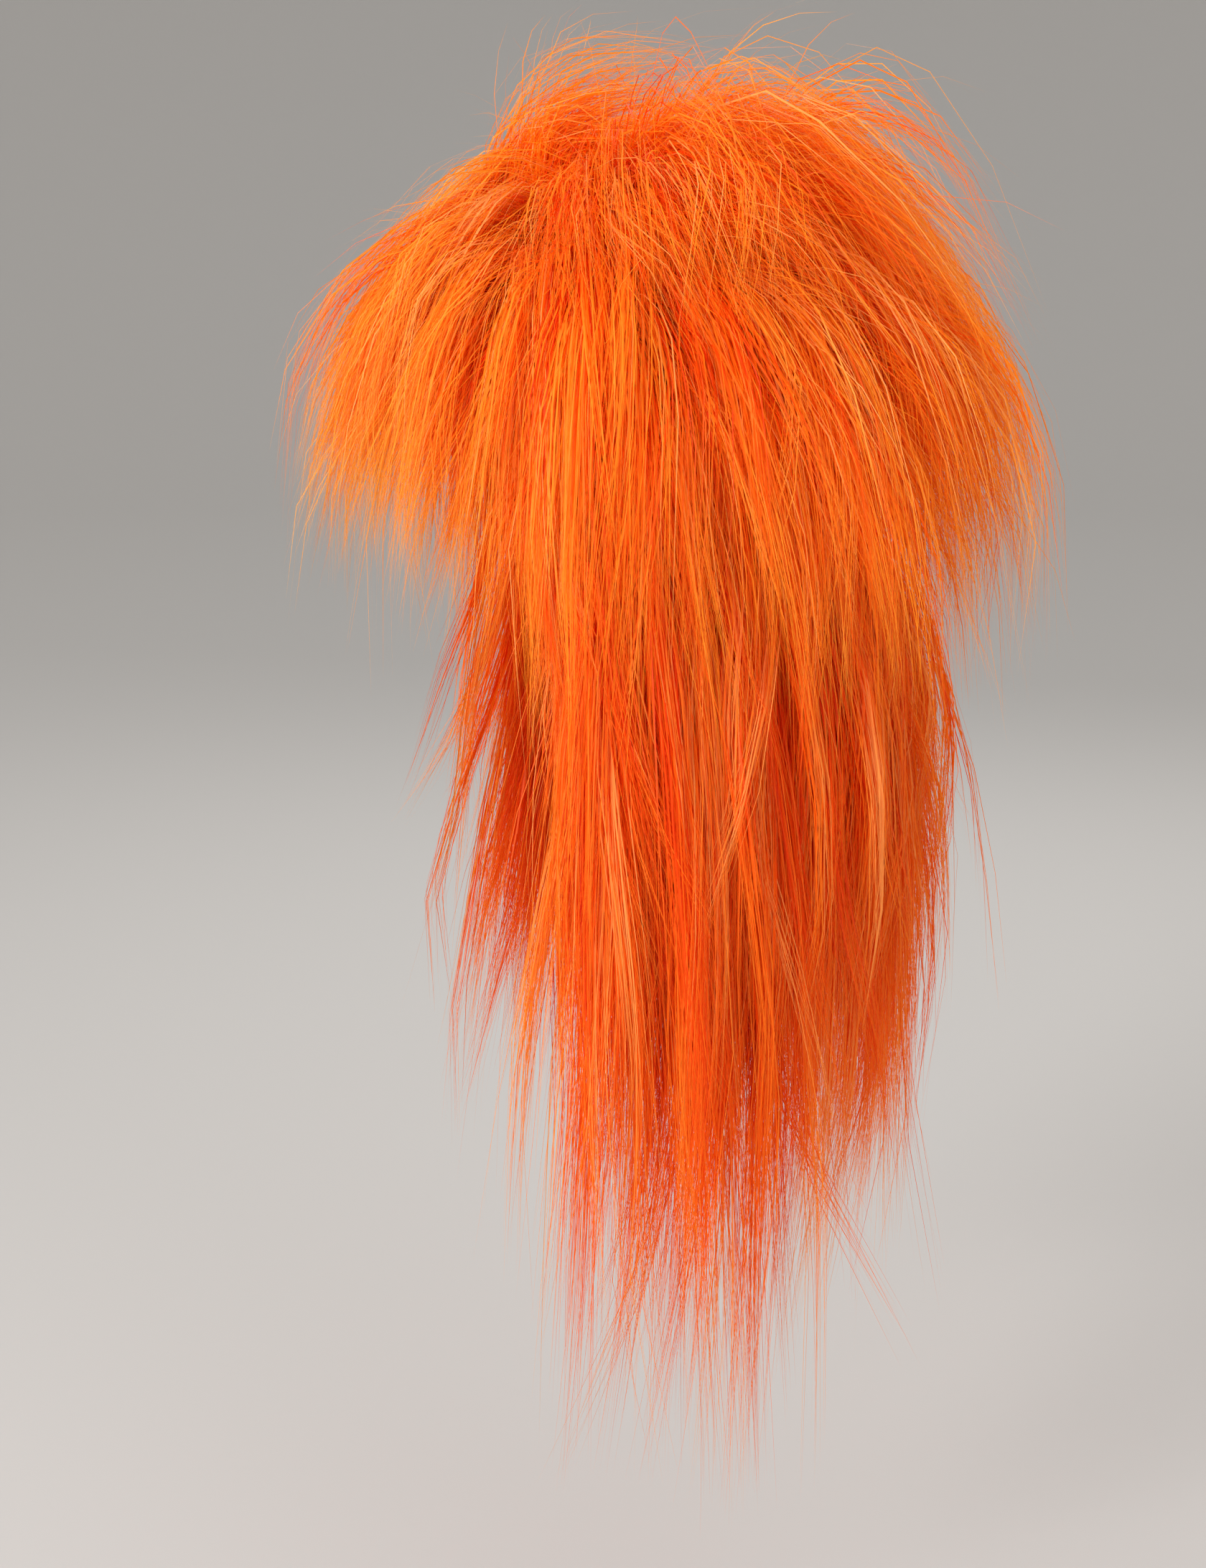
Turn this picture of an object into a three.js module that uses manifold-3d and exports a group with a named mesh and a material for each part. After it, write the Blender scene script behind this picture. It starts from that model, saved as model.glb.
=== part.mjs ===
// Long-pile faux-fur mullet wig, in millimetres, +Z up.
// The face looks along -Y and the wearer's left side is +X.
// The origin is where the crown of the head meets the inside of the cap.
import * as THREE from 'three';
import { mergeVertices } from 'three/addons/utils/BufferGeometryUtils.js';
import Module from 'manifold-3d';

const wasm = await Module();
wasm.setup();

// Head that the cap fits
const headWidth = 152;
const headLength = 192;
const crownHeight = 95; // from the widest level of the head up to its crown
const jawDepth = 170; // from the widest level down to where the rounded form closes
const capDepth = 168; // from the crown down to the cap's edge at the nape

// Cap, fur backing and the gap between pieces
const capWall = 2;
const backingWall = 2.5;
const clearance = 0.4;

// Length of the hair in each layer
const crownLength = 170;
const fringeLength = 220;
const sideLength = 205;
const backLength = 210;
const tailLength = 480;

// Widest section of a lock
const crownLockWidth = 70;
const crownLockThickness = 32;
const shortLockWidth = 54;
const shortLockThickness = 24;
const tailLockWidth = 46;
const tailLockThickness = 18;

// Facets
const capSides = 24;
const capSteps = 5;
const backingSteps = 3;
const lockSides = 5;

// Depth of the cap's edge round the head, as shares of capDepth, by degrees from the face
const capEdge = [
  { around: 0, depth: 0.25 },
  { around: 35, depth: 0.36 },
  { around: 60, depth: 0.6 },
  { around: 80, depth: 0.76 },
  { around: 110, depth: 0.8 },
  { around: 145, depth: 0.92 },
  { around: 180, depth: 1 },
];

// Outline of a lock: its girth as a share of the widest, by shares of its length
const lockOutline = [
  { along: 0.02, girth: 0.22 },
  { along: 0.3, girth: 0.94 },
  { along: 0.5, girth: 1 },
  { along: 0.78, girth: 0.66 },
  { along: 0.98, girth: 0.08 },
];

// Each lock leaves the cap at its root, turns at its knee and bend and ends at its tip.
// A station holds these at one place round the head, in degrees from the face, as pairs of
// outward and upward shares of the layer's hair length, measured from the root. Outward is
// along the heading, also in degrees from the face, and lean is how far a lock drifts
// forward for each length that it hangs down.
const crownStations = [
  { around: 0, heading: 180, lean: 0, knee: [-0.3, 0.46], bend: [0, 0.86], tip: [0.5, 0.76] },
  { around: 45, heading: 120, lean: 0, knee: [0.02, 0.44], bend: [0.3, 0.7], tip: [0.66, 0.4] },
  { around: 90, heading: 106, lean: 0, knee: [0.1, 0.4], bend: [0.48, 0.56], tip: [0.8, -0.06] },
  { around: 135, heading: 145, lean: 0, knee: [0.12, 0.44], bend: [0.52, 0.66], tip: [0.86, 0.1] },
  { around: 180, heading: 180, lean: 0, knee: [0.1, 0.48], bend: [0.5, 0.8], tip: [0.9, 0.3] },
];
const fringeStations = [
  { around: 0, heading: 0, lean: 0, knee: [-0.02, 0.38], bend: [0.48, 0.38], tip: [0.58, -0.42] },
  { around: 50, heading: 48, lean: 0, knee: [0.02, 0.3], bend: [0.42, 0.22], tip: [0.42, -0.54] },
];
const sideStations = [
  { around: 55, heading: 62, lean: 0, knee: [0.08, 0.3], bend: [0.48, 0.14], tip: [0.44, -0.8] },
  { around: 90, heading: 97, lean: 0, knee: [0.12, 0.3], bend: [0.56, 0.14], tip: [0.46, -0.82] },
  { around: 125, heading: 130, lean: 0, knee: [0.16, 0.32], bend: [0.62, 0.2], tip: [0.58, -0.72] },
];
const backStations = [
  { around: 126, heading: 132, lean: 0, knee: [0.16, 0.32], bend: [0.64, 0.24], tip: [0.62, -0.66] },
  { around: 180, heading: 180, lean: 0, knee: [0.22, 0.36], bend: [0.7, 0.4], tip: [0.72, -0.42] },
];
const leftTailStations = [
  { around: 66, heading: 90, lean: 0, knee: [0.07, -0.08], bend: [0.08, -0.3], tip: [0.08, -0.52] },
  { around: 90, heading: 92, lean: 0.02, knee: [0.1, -0.05], bend: [0.16, -0.42], tip: [0.165, -0.97] },
  { around: 130, heading: 116, lean: 0, knee: [0.11, -0.06], bend: [0.16, -0.37], tip: [0.14, -0.8] },
  { around: 180, heading: 180, lean: 0, knee: [0.12, -0.06], bend: [0.17, -0.37], tip: [0.14, -0.8] },
];
const rightTailStations = [
  { around: 66, heading: 84, lean: 0.13, knee: [0.06, -0.1], bend: [0.1, -0.48], tip: [0.08, -0.88] },
  { around: 92, heading: 88, lean: 0.05, knee: [0.1, -0.05], bend: [0.15, -0.4], tip: [0.14, -0.83] },
  { around: 130, heading: 116, lean: 0, knee: [0.11, -0.06], bend: [0.16, -0.37], tip: [0.14, -0.8] },
  { around: 180, heading: 180, lean: 0, knee: [0.12, -0.06], bend: [0.17, -0.37], tip: [0.14, -0.8] },
];

// Rows of locks: where their roots lie between crown and cap edge, how many there are, the
// share of a step at which the first one stands, and how far they reach down, spread out
// and lift, against their stations
const crownRows = [
  { down: 0.08, locks: 3, start: 0.5, reach: 1, spread: 0.8, lift: 1 },
  { down: 0.24, locks: 7, start: 0, reach: 1, spread: 1, lift: 0.84 },
];
const fringeRows = [
  { down: 0.42, locks: 4, start: 0.35, reach: 1, spread: 1, lift: 1 },
  { down: 0.63, locks: 4, start: 0.65, reach: 0.95, spread: 0.85, lift: 0.7 },
  { down: 0.88, locks: 3, start: 0.5, reach: 0.86, spread: 0.55, lift: 0.35 },
];
const sideRows = [
  { down: 0.4, locks: 3, start: 0.3, reach: 1, spread: 1, lift: 1 },
  { down: 0.58, locks: 3, start: 0.7, reach: 1, spread: 0.86, lift: 0.6 },
  { down: 0.75, locks: 3, start: 0.4, reach: 0.9, spread: 0.6, lift: 0.3 },
];
const backRows = [
  { down: 0.4, locks: 5, start: 0.4, reach: 1, spread: 1, lift: 1 },
  { down: 0.58, locks: 4, start: 0.6, reach: 1, spread: 0.9, lift: 0.6 },
  { down: 0.75, locks: 3, start: 0.4, reach: 0.9, spread: 0.66, lift: 0.3 },
];
const tailRows = [
  { down: 0.87, locks: 3, start: 0.36, reach: 0.62, spread: 1.1, lift: 1 },
  { down: 0.97, locks: 3, start: 0.64, reach: 1, spread: 0.92, lift: 1 },
];

// Uneven lengths and directions, which repeat from lock to lock
const lengthCycle = [1, 0.88, 1.05, 0.82, 0.96, 0.9, 1.02];
const turnCycle = [0, 5, -4, 7, -6];

// Finish of the knitted cap and of the pile
const capColour = '#c8501a';
const capRoughness = 0.85;
const pileRoughness = 0.6;

// Columns of locks that share one backing, listed from the innermost to the outermost
const layers = [
  { name: 'nape_tail', colour: '#e2560f', from: 152, to: 208, top: 0.84, bottom: 1, kind: 'tail' },
  { name: 'left_back_tail', colour: '#e8500a', from: 108, to: 150.5, top: 0.84, bottom: 1, kind: 'tail' },
  { name: 'right_back_tail', colour: '#e8500a', from: 209.5, to: 252, top: 0.84, bottom: 1, kind: 'tail' },
  { name: 'left_front_tail', colour: '#f05a0c', from: 62, to: 106.5, top: 0.84, bottom: 1, kind: 'tail' },
  { name: 'right_front_tail', colour: '#f05a0c', from: 253.5, to: 298, top: 0.84, bottom: 1, kind: 'tail' },
  { name: 'left_side_layer', colour: '#ff7a18', from: 53, to: 125, top: 0.32, bottom: 0.82, kind: 'side' },
  { name: 'right_side_layer', colour: '#ff7a18', from: 235, to: 307, top: 0.32, bottom: 0.82, kind: 'side' },
  { name: 'back_layer', colour: '#f8741a', from: 126.5, to: 233.5, top: 0.32, bottom: 0.82, kind: 'back' },
  { name: 'fringe', colour: '#ff9028', from: -51.5, to: 51.5, top: 0.32, bottom: 1, kind: 'fringe' },
  { name: 'crown_layer', colour: '#ff7414', from: 0, to: 360, top: 0, bottom: 0.3, kind: 'crown' },
];

// What the layers of one kind share
const kinds = {
  tail: {
    left: leftTailStations,
    right: rightTailStations,
    rows: tailRows,
    length: tailLength,
    width: tailLockWidth,
    thickness: tailLockThickness,
  },
  side: {
    left: sideStations,
    right: sideStations,
    rows: sideRows,
    length: sideLength,
    width: shortLockWidth,
    thickness: shortLockThickness,
  },
  back: {
    left: backStations,
    right: backStations,
    rows: backRows,
    length: backLength,
    width: shortLockWidth,
    thickness: shortLockThickness,
  },
  fringe: {
    left: fringeStations,
    right: fringeStations,
    rows: fringeRows,
    length: fringeLength,
    width: shortLockWidth,
    thickness: shortLockThickness,
  },
  crown: {
    left: crownStations,
    right: crownStations,
    rows: crownRows,
    length: crownLength,
    width: crownLockWidth,
    thickness: crownLockThickness,
  },
};

// Every column of a table at a place round the head
function stationAt(table, around) {
  const next = table.findIndex((row) => row.around >= around);
  if (next === 0) return table[0];
  if (next < 0) return table.at(-1);
  const before = table[next - 1];
  const after = table[next];
  const share = (around - before.around) / (after.around - before.around);
  const blended = (low, high) => (Array.isArray(low)
    ? low.map((value, i) => blended(value, high[i]))
    : THREE.MathUtils.lerp(low, high, share));
  const columns = Object.keys(before);
  return Object.fromEntries(columns.map((name) => [name, blended(before[name], after[name])]));
}

// Degrees from the face, whichever side it is on, and 1 on the left or -1 on the right
function placeRound(degrees) {
  const turned = THREE.MathUtils.euclideanModulo(degrees, 360);
  return turned > 180 ? { around: 360 - turned, side: -1 } : { around: turned, side: 1 };
}

// How far the cap's edge is tilted away from the crown
function edgeTilt(degrees) {
  const height = crownHeight - capDepth * stationAt(capEdge, placeRound(degrees).around).depth;
  return Math.acos(height / (height > 0 ? crownHeight : jawDepth));
}

// Point off the head. Share 0 is its crown, 1 the cap's edge and 2 the bottom of the form.
function headPoint(degrees, share, offset) {
  const edge = edgeTilt(degrees);
  const tilt = share <= 1 ? share * edge : edge + (share - 1) * (Math.PI - edge);
  const angle = THREE.MathUtils.degToRad(degrees);
  const halfHeight = Math.cos(tilt) > 0 ? crownHeight : jawDepth;
  return new THREE.Vector3(
    (headWidth / 2 + offset) * Math.sin(tilt) * Math.sin(angle),
    -(headLength / 2 + offset) * Math.sin(tilt) * Math.cos(angle),
    (halfHeight + offset) * Math.cos(tilt) - crownHeight,
  );
}

// Moves each corner of a geometry to where place(corner) puts it
function mapped(geometry, place) {
  const position = geometry.attributes.position;
  const corner = new THREE.Vector3();
  for (let i = 0; i < position.count; i += 1) {
    const moved = place(corner.fromBufferAttribute(position, i));
    position.setXYZ(i, moved.x, moved.y, moved.z);
  }
  return geometry;
}

function solidFrom(geometry) {
  geometry.deleteAttribute('normal');
  geometry.deleteAttribute('uv');
  const merged = mergeVertices(geometry);
  const index = merged.index.array;
  const triangles = [];
  for (let i = 0; i < index.length; i += 3) {
    const [a, b, c] = index.slice(i, i + 3);
    if (a !== b && b !== c && c !== a) triangles.push(a, b, c);
  }
  return new wasm.Manifold(new wasm.Mesh({
    numProp: 3,
    vertProperties: merged.attributes.position.array,
    triVerts: new Uint32Array(triangles),
  }));
}

function geometryFrom(solid) {
  const { vertProperties, triVerts } = solid.getMesh();
  const geometry = new THREE.BufferGeometry();
  geometry.setAttribute('position', new THREE.BufferAttribute(vertProperties, 3));
  geometry.setIndex(new THREE.BufferAttribute(triVerts, 1));
  geometry.computeVertexNormals();
  return geometry;
}

// A lathed profile of shares and offsets, laid on the head
function headLathe(profile) {
  const points = profile.map(([share, offset]) => new THREE.Vector2(share, offset));
  const geometry = new THREE.LatheGeometry(points, capSides);
  return solidFrom(mapped(geometry, ({ x, y, z }) => {
    const degrees = THREE.MathUtils.radToDeg(Math.atan2(x, z));
    return headPoint(degrees, Math.hypot(x, z), y);
  }));
}

function sharesTo(bottom, steps) {
  return Array.from({ length: steps + 1 }, (_, step) => (bottom * step) / steps);
}

function shell(bottom, steps, inner, outer) {
  const shares = sharesTo(bottom, steps);
  const inside = shares.map((share) => [share, inner]);
  const outside = shares.map((share) => [share, outer]).reverse();
  return headLathe([...inside, ...outside]);
}

// The space that hair keeps out of: the head, its cap and the clearance over that
function headSpace() {
  const above = sharesTo(1, capSteps);
  const below = above.slice(1).map((share) => share + 1);
  const offset = capWall + clearance;
  return headLathe([...above, ...below].reverse().map((share) => [share, offset]));
}

// Part of the fur backing between two places round the head, or all the way round
function backing({ from, to, top, bottom }, grown) {
  const inner = capWall - grown;
  const outer = capWall + clearance + backingWall + grown;
  const edge = grown / crownHeight;
  if (top === 0) return shell(bottom + edge, backingSteps, inner, outer);
  const turn = THREE.MathUtils.radToDeg(grown / (headWidth / 2));
  const sides = Math.ceil((to - from) / (360 / capSides));
  const box = new THREE.BoxGeometry(1, 1, 1, sides, backingSteps, 1);
  return solidFrom(mapped(box, ({ x, y, z }) => headPoint(
    THREE.MathUtils.lerp(from - turn, to + turn, x + 0.5),
    THREE.MathUtils.lerp(bottom + edge, top - edge, y + 0.5),
    THREE.MathUtils.lerp(inner, outer, z + 0.5),
  )));
}

// A pointed lock, flattened across its heading and grown by a margin on every side
function lock(curve, across, width, thickness, grown) {
  const over = grown / curve.getLength();
  const points = [
    new THREE.Vector2(0, -over),
    ...lockOutline.map(({ along, girth }) => new THREE.Vector2(girth, along)),
    new THREE.Vector2(0, 1 + over),
  ];
  const geometry = new THREE.LatheGeometry(points, lockSides);
  return solidFrom(mapped(geometry, ({ x, y, z }) => {
    const girth = Math.hypot(x, z);
    const along = THREE.MathUtils.clamp(y, 0, 1);
    const tangent = curve.getTangentAt(along);
    const place = curve.getPointAt(along).addScaledVector(tangent, (y - along) * curve.getLength());
    if (girth === 0) return place;
    const rise = across.clone().cross(tangent);
    place.addScaledVector(across, (x / girth) * ((width / 2) * girth + grown));
    return place.addScaledVector(rise, (z / girth) * ((thickness / 2) * girth + grown));
  }));
}

function lockPath(kind, row, degrees, count) {
  const { around, side } = placeRound(degrees);
  const station = stationAt(side > 0 ? kind.left : kind.right, around);
  const size = kind.length * lengthCycle[count % lengthCycle.length];
  const turned = station.heading + turnCycle[count % turnCycle.length];
  const heading = THREE.MathUtils.degToRad(turned);
  const outward = new THREE.Vector3(side * Math.sin(heading), -Math.cos(heading), 0);
  const across = new THREE.Vector3(0, 0, 1).cross(outward);
  const root = headPoint(degrees, row.down, capWall);
  const turns = [station.knee, station.bend, station.tip].map(([out, up]) => {
    const height = up * (up > 0 ? row.lift : row.reach) * size;
    const forward = Math.min(height, 0) * station.lean;
    const place = root.clone().addScaledVector(outward, out * row.spread * size);
    return place.add(new THREE.Vector3(0, forward, height));
  });
  return { curve: new THREE.CubicBezierCurve3(root, ...turns), across };
}

// Locks and backing of one layer, as separate solids
function layerParts(layer, grown) {
  const kind = kinds[layer.kind];
  const parts = [backing(layer, grown)];
  for (const row of kind.rows) {
    const step = (layer.to - layer.from) / row.locks;
    for (let i = 0; i < row.locks; i += 1) {
      const degrees = layer.from + (i + row.start) * step;
      const { curve, across } = lockPath(kind, row, degrees, parts.length);
      parts.push(lock(curve, across, kind.width, kind.thickness, grown));
    }
  }
  return parts;
}

function fused(parts) {
  return parts.reduce((whole, part) => whole.add(part));
}

// The body that holds most of the layer, without clippings that a cut leaves loose
function mainBody(solid) {
  const bodies = solid.decompose();
  return bodies.reduce((most, body) => (body.volume() > most.volume() ? body : most));
}

function named(name, geometry, colour, roughness) {
  const material = new THREE.MeshStandardMaterial({ color: colour, roughness, metalness: 0 });
  const mesh = new THREE.Mesh(geometry, material);
  mesh.name = name;
  return mesh;
}

const wig = new THREE.Group();
wig.name = 'mullet_wig';

const cap = shell(1, capSteps, 0, capWall);
wig.add(named('cap', geometryFrom(cap), capColour, capRoughness));

let taken = headSpace();
for (const layer of layers) {
  const hair = mainBody(fused(layerParts(layer, 0)).subtract(taken));
  wig.add(named(layer.name, geometryFrom(hair), layer.colour, pileRoughness));
  taken = taken.add(fused(layerParts(layer, clearance)));
}

export default wig;
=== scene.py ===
import math

import bmesh
import bpy
import numpy as np
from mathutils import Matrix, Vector


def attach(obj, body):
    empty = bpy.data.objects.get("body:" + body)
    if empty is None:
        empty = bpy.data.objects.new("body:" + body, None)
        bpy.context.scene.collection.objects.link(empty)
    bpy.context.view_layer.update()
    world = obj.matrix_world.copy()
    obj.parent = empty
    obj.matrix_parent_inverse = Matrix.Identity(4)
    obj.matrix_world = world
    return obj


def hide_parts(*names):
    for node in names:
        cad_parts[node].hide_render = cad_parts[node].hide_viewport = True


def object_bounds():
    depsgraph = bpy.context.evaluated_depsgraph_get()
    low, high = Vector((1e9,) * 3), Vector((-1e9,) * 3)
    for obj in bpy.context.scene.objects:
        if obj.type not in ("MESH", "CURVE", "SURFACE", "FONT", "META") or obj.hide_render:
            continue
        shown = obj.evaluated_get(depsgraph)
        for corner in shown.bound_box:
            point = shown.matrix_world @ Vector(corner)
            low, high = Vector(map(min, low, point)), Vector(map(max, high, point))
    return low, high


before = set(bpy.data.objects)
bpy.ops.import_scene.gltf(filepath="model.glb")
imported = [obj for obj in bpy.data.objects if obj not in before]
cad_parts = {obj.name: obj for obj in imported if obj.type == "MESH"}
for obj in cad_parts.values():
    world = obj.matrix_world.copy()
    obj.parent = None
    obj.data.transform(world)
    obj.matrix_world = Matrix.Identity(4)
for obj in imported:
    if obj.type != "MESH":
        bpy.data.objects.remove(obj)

# An orange long-pile mullet wig: knitted cap, fur backing and ten layers of pile.
# Metres. The face looks along -Y, the wearer's left is +X, the origin is the crown of the head.

cadBox = [list(corner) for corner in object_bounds()]
scene = bpy.context.scene
scene.view_settings.view_transform = "Standard"  # keeps the dye as strong as the picture has it
print("frame loaded:", len(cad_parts), "nodes")

picture = {
    "place": (1.196, -0.008, 0.006),  # out from the wearer's left, a little above the ear
    "down": 12.2,  # degrees below level
    "lens": 54.0,  # mm
    "sensor": 36.0,  # mm, the height of the camera's own picture
}
studio = {
    "floorHeight": -0.68,
    "floorRadius": 6.0,  # flat as far as this, then it curves up all round
    "sweepRadius": 5.0,
    "floorColour": "#B4B1AE",
    "skyColour": "#F6F5F3",
    "skyStrength": 0.95,
    "aim": (0.0, 0.03, -0.05),
    "lamps": [  # place, size and watts
        {"name": "key", "place": (1.55, -1.6, 0.6), "size": 1.0, "watts": 58.0},
        {"name": "fill", "place": (1.6, 1.3, 0.3), "size": 1.4, "watts": 12.0},
        {"name": "rim", "place": (-1.7, 0.4, 1.1), "size": 1.4, "watts": 14.0},
    ],
}


def linearColour(hexColour):  # sRGB hex to linear red, green, blue and alpha
    shares = [int(hexColour[i : i + 2], 16) / 255 for i in (1, 3, 5)]
    return [c / 12.92 if c <= 0.04045 else ((c + 0.055) / 1.055) ** 2.4 for c in shares] + [1.0]


def addNode(tree, kind, settings=None, links=None):  # one node, what it is set to and what feeds it
    node = tree.nodes.new("ShaderNode" + kind)
    for name, value in (settings or {}).items():
        if isinstance(name, int) or name in node.inputs:
            node.inputs[name].default_value = value
        else:
            setattr(node, name, value)
    for name, source in (links or {}).items():
        tree.links.new(source, node.inputs[name])
    return node


def newMaterial(name):  # an empty node tree with its output
    material = bpy.data.materials.new(name)
    material.use_nodes = True
    material.node_tree.nodes.clear()
    return material, material.node_tree, material.node_tree.nodes.new("ShaderNodeOutputMaterial")


def setStops(ramp, stops):  # colour stops of a ramp node, as (place, hex colour)
    elements = ramp.color_ramp.elements
    while len(elements) > 1:
        elements.remove(elements[-1])
    elements[0].position, elements[0].color = stops[0][0], linearColour(stops[0][1])
    for place, colour in stops[1:]:
        elements.new(place).color = linearColour(colour)


def finished(name, shape):  # a bmesh turned into a shown object, with smooth faces
    mesh = bpy.data.meshes.new(name)
    for face in shape.faces:
        face.smooth = True
    shape.to_mesh(mesh)
    shape.free()
    piece = bpy.data.objects.new(name, mesh)
    scene.collection.objects.link(piece)
    return piece


def makeStudio():
    world = bpy.data.worlds.new("studioSky")
    world.use_nodes = True
    background = world.node_tree.nodes["Background"]
    background.inputs["Color"].default_value = linearColour(studio["skyColour"])
    background.inputs["Strength"].default_value = studio["skyStrength"]
    scene.world = world

    shape = bmesh.new()
    start = shape.verts.new((0, 0, studio["floorHeight"]))
    corner = shape.verts.new((studio["floorRadius"], 0, studio["floorHeight"]))
    shape.edges.new((start, corner))
    sweepMiddle = (studio["floorRadius"], 0, studio["floorHeight"] + studio["sweepRadius"])
    bmesh.ops.spin(shape, geom=[corner], axis=(0, -1, 0), angle=math.pi / 2, steps=12, cent=sweepMiddle)
    profile = shape.verts[:] + shape.edges[:]
    bmesh.ops.spin(shape, geom=profile, axis=(0, 0, 1), angle=2 * math.pi, steps=96, use_merge=True)
    bmesh.ops.remove_doubles(shape, verts=shape.verts, dist=1e-5)
    floor = finished("floor", shape)
    material, tree, output = newMaterial("Studio_Floor_Matte_Paint")
    matte = addNode(tree, "BsdfPrincipled", {
        "Base Color": linearColour(studio["floorColour"]), "Roughness": 0.9})
    tree.links.new(matte.outputs["BSDF"], output.inputs["Surface"])
    floor.data.materials.append(material)

    aim = Vector(studio["aim"])
    for lamp in studio["lamps"]:
        light = bpy.data.lights.new(lamp["name"], "AREA")
        light.shape = "DISK"
        light.size = lamp["size"]
        light.energy = lamp["watts"]
        holder = bpy.data.objects.new(lamp["name"], light)
        holder.location = lamp["place"]
        holder.rotation_euler = (aim - holder.location).to_track_quat("-Z", "Y").to_euler()
        scene.collection.objects.link(holder)

    camera = bpy.data.cameras.new("camera")
    camera.sensor_fit = "VERTICAL"
    camera.sensor_height = picture["sensor"]
    camera.lens = picture["lens"]
    holder = bpy.data.objects.new("camera", camera)
    holder.location = picture["place"]
    holder.rotation_euler = (math.radians(90 - picture["down"]), 0, math.radians(90))
    scene.collection.objects.link(holder)
    scene.camera = holder


makeStudio()
print("camera, floor and lamps set")

# The head that the wig fits, as an egg in two halves, and the cap's edge round it
head = {
    "width": 0.152,
    "length": 0.192,
    "crown": 0.095,  # from the widest level up to the crown
    "jaw": 0.17,  # from the widest level down to the bottom of the form
    "capDepth": 0.168,
    "edgeAround": [0, 35, 60, 80, 110, 145, 180],  # degrees from the face
    "edgeDepth": [0.25, 0.36, 0.6, 0.76, 0.8, 0.92, 1],  # shares of capDepth
    "capWall": 0.002,
    "middle": -0.08,  # hair above this level points away from the middle, hair below it straight out
    "neckLine": 0.02,  # how far behind the crown that middle and the neck's line lie
}


def headPoint(degrees, share, offset):  # share 0 is the crown, 1 the cap's edge
    degrees, share = np.asarray(degrees, float), np.asarray(share, float)
    around = np.abs((degrees + 180) % 360 - 180)
    height = head["crown"] - head["capDepth"] * np.interp(around, head["edgeAround"], head["edgeDepth"])
    edge = np.arccos(height / np.where(height > 0, head["crown"], head["jaw"]))
    tilt = np.where(share <= 1, share * edge, edge + (share - 1) * (np.pi - edge))
    angle = np.radians(degrees)
    halfHeight = np.where(np.cos(tilt) > 0, head["crown"], head["jaw"])
    return np.stack([
        (head["width"] / 2 + offset) * np.sin(tilt) * np.sin(angle),
        -(head["length"] / 2 + offset) * np.sin(tilt) * np.cos(angle),
        (halfHeight + offset) * np.cos(tilt) - head["crown"],
    ], -1)


def headSheet(name, look):  # cloth laid on the head, with its own map in metres
    shape = bmesh.new()
    bmesh.ops.create_grid(shape, x_segments=look["around"], y_segments=look["down"], size=0.5)
    cloth = shape.loops.layers.uv.new("clothMap")
    for face in shape.faces:
        for loop in face.loops:
            loop[cloth].uv = ((loop.vert.co.x + 0.5) * look["girth"], (0.5 - loop.vert.co.y) * look["depth"])
    for vert in shape.verts:
        share = look["top"] + (look["bottom"] - look["top"]) * (0.5 - vert.co.y)
        vert.co = headPoint((vert.co.x + 0.5) * 360, share, look["offset"])
    bmesh.ops.remove_doubles(shape, verts=shape.verts, dist=1e-6)
    bmesh.ops.recalc_face_normals(shape, faces=shape.faces)
    piece = finished(name, shape)
    wall = piece.modifiers.new("wall", "SOLIDIFY")
    wall.thickness = look["wall"]
    wall.offset = 1.0
    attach(piece, "root")
    return piece


def capHem(look):  # elastic hem folded over the edge of cap and ground, a closed ring of tube
    shape = bmesh.new()
    bmesh.ops.create_grid(shape, x_segments=look["around"], y_segments=look["section"], size=0.5)
    cloth = shape.loops.layers.uv.new("clothMap")
    for face in shape.faces:
        for loop in face.loops:
            loop[cloth].uv = ((loop.vert.co.x + 0.5) * look["girth"], (loop.vert.co.y + 0.5) * look["turn"])
    for vert in shape.verts:
        degrees = (vert.co.x + 0.5) * 360
        turned = (vert.co.y + 0.5) * 2 * math.pi
        step = headPoint(degrees, 1, 0) - headPoint(degrees, 1 - look["probe"], 0)
        perShare = float(np.linalg.norm(step)) / look["probe"]
        rise, out = math.cos(turned), math.sin(turned)
        square = max(abs(rise), abs(out)) ** look["squareness"]  # a rounded rectangle in section
        down = look["drop"] - look["height"] / 2 - rise / square * look["height"] / 2
        offset = look["offset"] + out / square * look["wall"] / 2
        vert.co = headPoint(degrees, 1 + down / perShare, offset)
    bmesh.ops.remove_doubles(shape, verts=shape.verts, dist=1e-6)
    bmesh.ops.recalc_face_normals(shape, faces=shape.faces)
    piece = finished("cap_hem", shape)
    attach(piece, "root")
    return piece


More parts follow.
